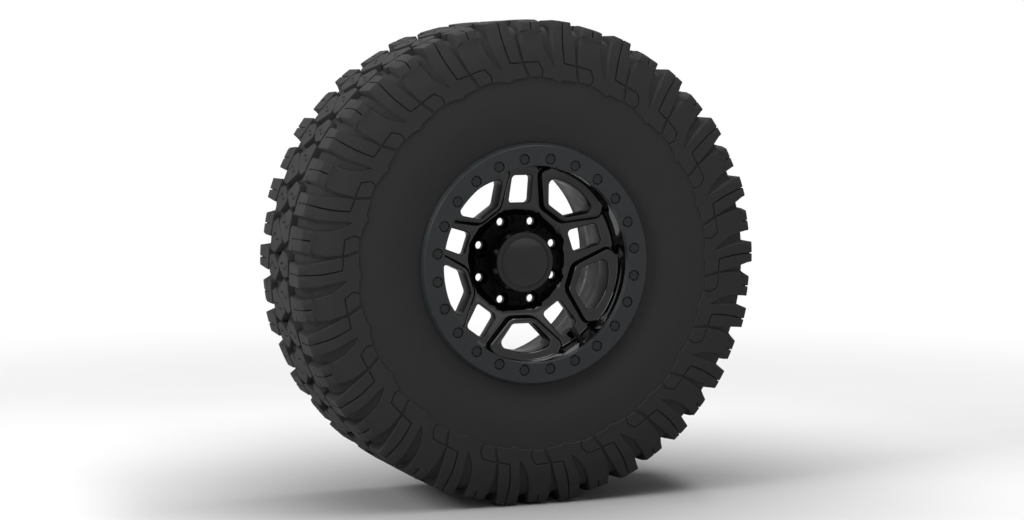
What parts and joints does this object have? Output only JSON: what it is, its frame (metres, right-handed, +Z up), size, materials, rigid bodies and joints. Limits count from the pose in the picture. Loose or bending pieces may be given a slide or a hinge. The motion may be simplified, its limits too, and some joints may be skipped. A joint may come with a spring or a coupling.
{
  "type": "off-road car wheel with tyre",
  "caption": "Off-road car wheel: mud-terrain tyre on a cast spoked wheel with framed windows, bolted bead-lock ring, push-through centre cap and radial tyre valve.",
  "frame": {"origin": "centre of the wheel, on the axle axis at the tyre's middle plane", "axes": "+Y along the axle towards the vehicle, -Y out of the wheel's outer face, +Z up with the wheel standing on its tread"},
  "size_m": [0.94, 0.32, 0.94],
  "materials": {
    "tyre_rubber": "matte moulded rubber",
    "gloss_black": "gloss black paint on cast aluminium",
    "satin_grey": "satin dark grey coating",
    "bolt_black": "black oxide steel",
    "steel": "plain steel",
    "cap_black": "satin black plastic",
    "cap_face_black": "satin dark grey plastic",
    "valve_metal": "black anodised metal",
    "core_brass": "plain brass",
    "seal_rubber": "black rubber",
    "valve_cap_black": "black plastic"
  },
  "bodies": {
    "wheel": {"tyre": "tyre_rubber", "wheel_casting": "gloss_black", "beadlock_ring": "satin_grey", "ring_bolts": "bolt_black", "ring_washers": "bolt_black", "thread_inserts": "steel", "centre_cap": "cap_black", "cap_face": "cap_face_black", "cap_retaining_ring": "steel", "valve_stem": "valve_metal", "valve_grommet": "seal_rubber", "valve_washer": "valve_metal", "valve_nut": "valve_metal", "valve_core_plug": "core_brass", "valve_core_gasket": "seal_rubber", "valve_core_spring": "steel"},
    "core_pin": {"valve_core_pin": "core_brass", "valve_core_seal": "seal_rubber"},
    "cap_travel": {"valve_cap_seal": "seal_rubber"},
    "cap": {"valve_cap": "valve_cap_black"}
  },
  "joints": [
    {"name": "core_pin_press", "type": "slide", "parent": "wheel", "child": "core_pin", "axis": [0.5878, 0, -0.809], "range_m": [0, 0.001], "stiffness_N_per_m": 400, "deforming": ["valve_core_spring"]},
    {"name": "valve_cap_travel", "type": "slide", "parent": "wheel", "child": "cap_travel", "axis": [-0.5878, 0, 0.809], "range_m": [0, 0.0085]},
    {"name": "valve_cap_turn", "type": "hinge", "parent": "cap_travel", "child": "cap", "pos_m": [0.0976, -0.101, -0.1343], "axis": [-0.5878, 0, 0.809], "range_deg": [0, 3960]}
  ],
  "couplings": [
    {"joint": "valve_cap_turn", "follows": "valve_cap_travel", "rad_per_m": 7913.3}
  ]
}
